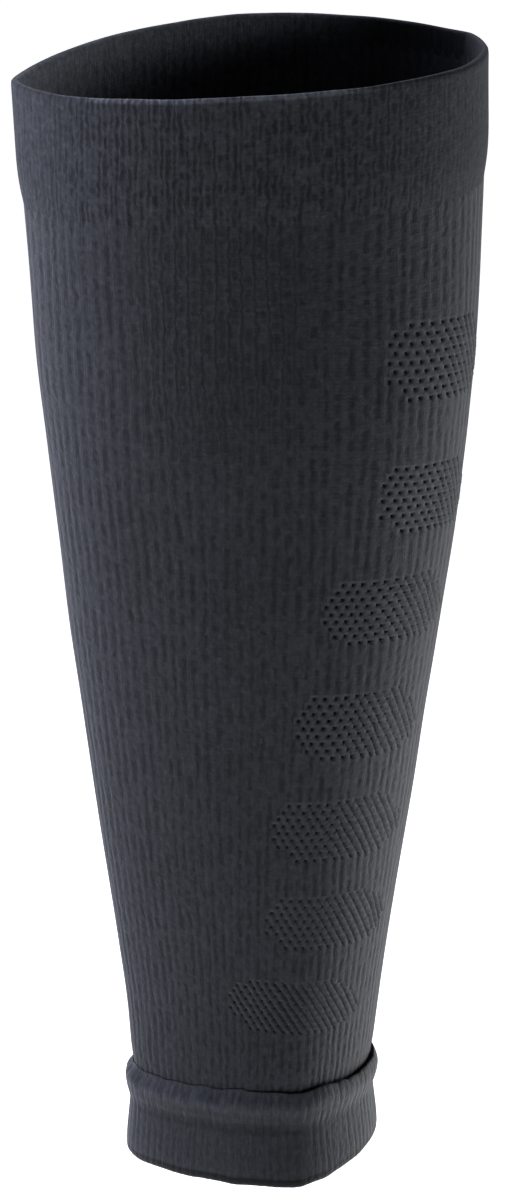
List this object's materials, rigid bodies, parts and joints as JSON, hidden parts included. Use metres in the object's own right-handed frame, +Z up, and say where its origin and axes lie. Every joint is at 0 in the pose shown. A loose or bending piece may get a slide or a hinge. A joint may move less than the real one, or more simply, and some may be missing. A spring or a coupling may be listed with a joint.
{
  "type": "calf compression sleeve",
  "caption": "Seamless ribbed knit tube, tapering from a wide banded mouth to a turned-up cuff, with eyelet-mesh vents down one side; worn on a limb to compress it.",
  "frame": {"origin": "centre of the ankle opening, in the plane of the hem", "axes": "+Z up the sleeve towards the wide mouth, X along the long axis of the mouth, front of the sleeve facing -Y"},
  "size_m": [0.1362, 0.0936, 0.3208],
  "materials": {
    "rib_knit": "matt charcoal ribbed knit",
    "band_knit": "matt charcoal fine rib knit, double",
    "cuff_knit": "matt charcoal fine rib knit, double",
    "mesh_knit": "matt charcoal eyelet mesh knit"
  },
  "bodies": {
    "root": {"sleeve_body": "rib_knit", "top_band": "band_knit", "ankle_cuff": "cuff_knit", "mesh_vent_1": "mesh_knit", "mesh_vent_2": "mesh_knit", "mesh_vent_3": "mesh_knit", "mesh_vent_4": "mesh_knit", "mesh_vent_5": "mesh_knit", "mesh_vent_6": "mesh_knit", "mesh_vent_7": "mesh_knit"}
  },
  "joints": []
}
